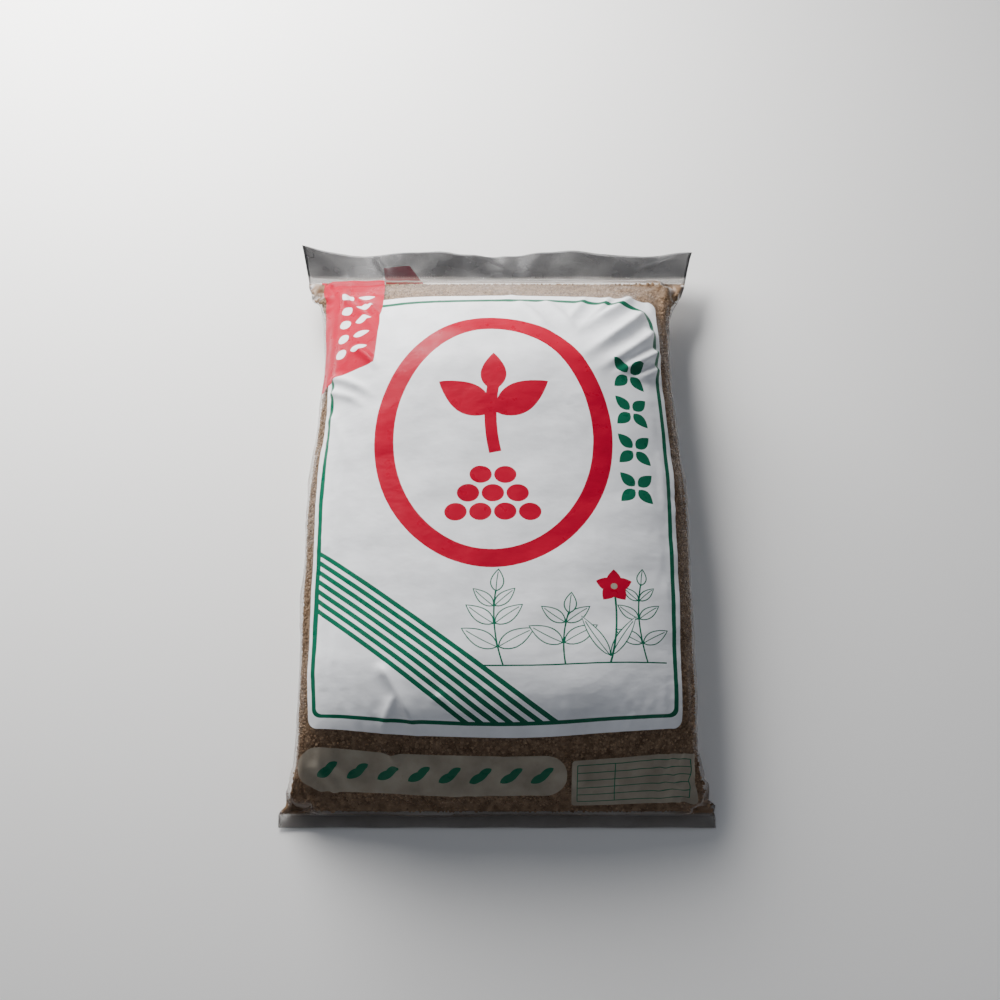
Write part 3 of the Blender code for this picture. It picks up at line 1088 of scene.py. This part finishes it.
def grain_shapes(random, count):
    """Unit lumps, each a dented icosphere."""
    shapes = []
    for _ in range(count):
        bm = bmesh.new()
        bmesh.ops.create_icosphere(bm, subdivisions=1, radius=1.0)
        co = np.array([v.co for v in bm.verts])
        faces = np.array([[v.index for v in f.verts] for f in bm.faces])
        bm.free()
        co *= random.uniform(0.78, 1.12, (len(co), 1))
        co *= random.uniform(0.8, 1.1, 3)
        shapes.append(co)
    return shapes, faces


def clear_spots(layout, s, width, step):
    """Flat places, about a step apart, wherever the film is clear."""
    flat, slot, faces = layout
    random = np.random.default_rng(s.seed)
    seen = np.isin(slot, [INKS.index("clear"), INKS.index("seal")])
    middles = flat[faces].mean(axis=1)
    us = np.arange(-width / 2, 1.5 * width, step)
    vs = np.arange(0.001, middles[:, 1].max(), step)
    spots = np.stack(np.meshgrid(us, vs), axis=-1).reshape(-1, 2)
    spots += random.uniform(-0.42, 0.42, spots.shape) * step
    return spots[distances(spots, middles[seen]) < s.grain * 1.1]


def grain_mesh(layout, settled, s, film):
    """Lumps of soil under the clear film, in one mesh: smaller and closer where the sack is thin."""
    random = np.random.default_rng(s.seed + 1)
    soil = node_tree(SOIL)
    sack = film_tree(settled)
    shapes, faces = grain_shapes(random, 9)
    places = np.linspace(0, film.seam_to_seam, len(settled))
    normals = grid_normals(settled)
    floor = frame_low(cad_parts[SOIL])
    all_points, all_faces, tones = [], [], []
    number = 0
    for step, thinnest, thickest in GRAIN_LAYINGS:
        spots = clear_spots(layout, s, film.tube_width, s.grain * step)
        spots = spots[spots[:, 1] < film.seam_to_seam]
        points = on_grid(settled, places, spots, film.tube_width)
        outward = unit(on_grid(normals, places, spots, film.tube_width))
        for point, normal in zip(points, outward):
            thick = depth_under(sack, point, normal)
            _, _, _, gap = soil.find_nearest(Vector(point))
            if not thinnest * s.grain < thick <= thickest * s.grain or gap > s.furthest:
                continue
            if normal[2] < -0.5 and random.uniform() > s.below:
                continue
            size = s.grain / 2 * float(np.clip(random.lognormal(0, 0.28), 0.55, 1.7))
            size = min(size, thick / LUMP_ROOM)
            turn = np.linalg.qr(random.normal(size=(3, 3)))[0]
            turn *= np.sign(np.linalg.det(turn))
            sunk = min(max(0.0, gap - 0.0010), 0.0008, (thick - LUMP_ROOM * size) / 2)
            centre = point - normal * (size * LUMP_REACH + FILM_CLEARANCE + sunk)
            lump = shapes[random.integers(len(shapes))] @ turn.T * size + centre
            if lump[:, 2].min() < floor:
                lump[:, 2] += floor - lump[:, 2].min()
            all_points.append(lump)
            all_faces.append(faces + number)
            number += len(lump)
            tones.append(np.full(len(lump), random.uniform()))
    mesh = new_mesh("grains", np.concatenate(all_points), np.concatenate(all_faces))
    layer = mesh.attributes.new("tone", "FLOAT", "POINT")
    layer.data.foreach_set("value", np.concatenate(tones))
    return mesh


def area_light(name, place, target, size, power, tint):
    """A round lamp at a place, turned to a target."""
    light = bpy.data.lights.new(name, "AREA")
    light.shape = "DISK"
    light.size = size
    light.energy = power
    light.color = tint
    lamp = in_scene(name, light)
    lamp.location = place
    lamp.rotation_euler = (Vector(target) - Vector(place)).to_track_quat("-Z", "Y").to_euler()
    return lamp


class SOILSACK_OT_film(bpy.types.Operator):
    """Wrap the printed film round the full sack's form"""

    bl_idname = "soilsack.film"
    bl_label = "Film"

    def execute(self, context):
        film, inks = context.scene.soilsack_film, context.scene.soilsack_print
        mesh, flat, slot, faces = film_mesh(*full_grid(settled_film(film), film), film, inks)
        looks = {
            # The clear film's edge grey of 0.62 is partly a painted sheen for its glare.
            "clear": clear_material("clear_film", 0.11, (0.24, 0.155, 0.095), 0.62, False),
            # The empty film is painted dark: near black and nearly opaque, it stands in for the shade
            # and dark background seen through it, not the pale floor under it.
            "empty": clear_material("empty_film", 0.77, (0.034, 0.034, 0.036), 0.12, False),
            "seal": clear_material("sealed_film", 0.50, (0.22, 0.20, 0.18), 0.40, True),
        }
        for ink in ("white", "red", "green", "cream"):
            cover = inks.cream_cover if ink == "cream" else 1.0
            looks[ink] = ink_material(ink + "_ink", getattr(inks, ink), cover)
        piece = new_piece("printed_film", mesh, [looks[ink] for ink in INKS])
        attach(piece, BODY)
        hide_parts(FILM)
        SHARED["layout"] = (flat, slot, faces)
        return {"FINISHED"}


class SOILSACK_OT_soil(bpy.types.Operator):
    """Build the packed body of the soil, after the film"""

    bl_idname = "soilsack.soil"
    bl_label = "Packed soil"

    def execute(self, context):
        s = context.scene.soilsack_soil
        dark = [c * 0.8 for c in s.dark]
        look = soil_material("packed_soil", dark, s.light, False)
        piece = new_piece("packed_soil", packed_soil(SHARED["settled"], s), [look])
        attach(piece, BODY)
        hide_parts(SOIL)
        return {"FINISHED"}


class SOILSACK_OT_grains(bpy.types.Operator):
    """Lay loose grains of soil below the clear film, after the film"""

    bl_idname = "soilsack.grains"
    bl_label = "Loose grains"

    def execute(self, context):
        s, film = context.scene.soilsack_soil, context.scene.soilsack_film
        mesh = grain_mesh(SHARED["layout"], SHARED["settled"], s, film)
        piece = new_piece("soil_grains", mesh, [soil_material("soil_grain", s.dark, s.light, True)])
        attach(piece, BODY)
        return {"FINISHED"}


class SOILSACK_OT_stage(bpy.types.Operator):
    """Set the floor, the lights and the camera"""

    bl_idname = "soilsack.stage"
    bl_label = "Stage"

    def execute(self, context):
        s = context.scene.soilsack_stage
        corners = np.array([(-1, -1, 0), (1, -1, 0), (1, 1, 0), (-1, 1, 0)]) * s.floor_half
        mesh = new_mesh("floor", corners, np.array([(0, 1, 2, 3)]))
        material, tree, shader = new_material("floor")
        share = shader_node(tree, "TexNoise", {"Scale": 3})["Fac"]
        tone = tone_between(tree, share, [c * 0.98 for c in s.floor], s.floor)
        feed(tree, shader, {"Base Color": tone, "Roughness": 0.75})
        new_piece("floor", mesh, [material])
        world = bpy.data.worlds.new("studio")
        world.use_nodes = True
        background = world.node_tree.nodes["Background"]
        sky = {"Color": (0.86, 0.90, 1.0, 1), "Strength": s.ambient}
        feed(world.node_tree, background, sky)
        context.scene.world = world
        middle = (-0.02, 0.08, 0.05)
        key = area_light("key", (-0.50, 0.82, 0.50), middle, 0.85, s.key, (1.0, 0.98, 0.96))
        key.visible_glossy = False
        area_light("sheen", (-0.30, 0.92, 0.61), (-0.10, 0.15, 0.09), 0.42, s.sheen, (1.0, 0.99, 0.98))
        area_light("fill", (0.9, -0.9, 1.6), (0, 0, 0.03), 1.6, s.fill, (0.90, 0.94, 1.0))
        angle = math.radians(s.elevation)
        up = Vector((0, math.sin(angle), math.cos(angle)))
        back = Vector((0, -math.cos(angle), math.sin(angle)))
        data = bpy.data.cameras.new("camera")
        data.lens = s.lens
        data.sensor_width = 36
        camera = in_scene("camera", data)
        aim = up * s.aim_up + Vector((s.aim_right, 0, 0))
        camera.location = back * s.distance + aim
        camera.rotation_euler = (-back).to_track_quat("-Z", "Y").to_euler()
        context.scene.camera = camera
        return {"FINISHED"}


class SOILSACK_PT_panel(bpy.types.Panel):
    """Settings and steps of the soil sack"""

    bl_label = "Soil sack"
    bl_idname = "SOILSACK_PT_panel"
    bl_space_type = "VIEW_3D"
    bl_region_type = "UI"
    bl_category = "Soil sack"

    def draw(self, context):
        for name, (group, steps) in SETTINGS.items():
            box = self.layout.box()
            box.label(text=group.__doc__)
            settings = getattr(context.scene, name)
            for field in group.__annotations__:
                box.prop(settings, field)
            for step in steps:
                box.operator(step.bl_idname)


SETTINGS = {
    "soilsack_film": (FilmSettings, (SOILSACK_OT_film,)),
    "soilsack_print": (PrintSettings, ()),
    "soilsack_soil": (SoilSettings, (SOILSACK_OT_soil, SOILSACK_OT_grains)),
    "soilsack_stage": (StageSettings, (SOILSACK_OT_stage,)),
}
OPERATORS = (SOILSACK_OT_film, SOILSACK_OT_soil, SOILSACK_OT_grains, SOILSACK_OT_stage)


def register():
    for name, (group, _) in SETTINGS.items():
        bpy.utils.register_class(group)
        setattr(bpy.types.Scene, name, PointerProperty(type=group))
    for item in (*OPERATORS, SOILSACK_PT_panel):
        bpy.utils.register_class(item)


def unregister():
    for item in (SOILSACK_PT_panel, *reversed(OPERATORS)):
        bpy.utils.unregister_class(item)
    for name, (group, _) in SETTINGS.items():
        delattr(bpy.types.Scene, name)
        bpy.utils.unregister_class(group)


def main():
    """Builds the whole scene, piece by piece."""
    register()
    bpy.ops.soilsack.film()
    bpy.ops.soilsack.soil()
    bpy.ops.soilsack.grains()
    bpy.ops.soilsack.stage()


if __name__ == "__main__":
    main()
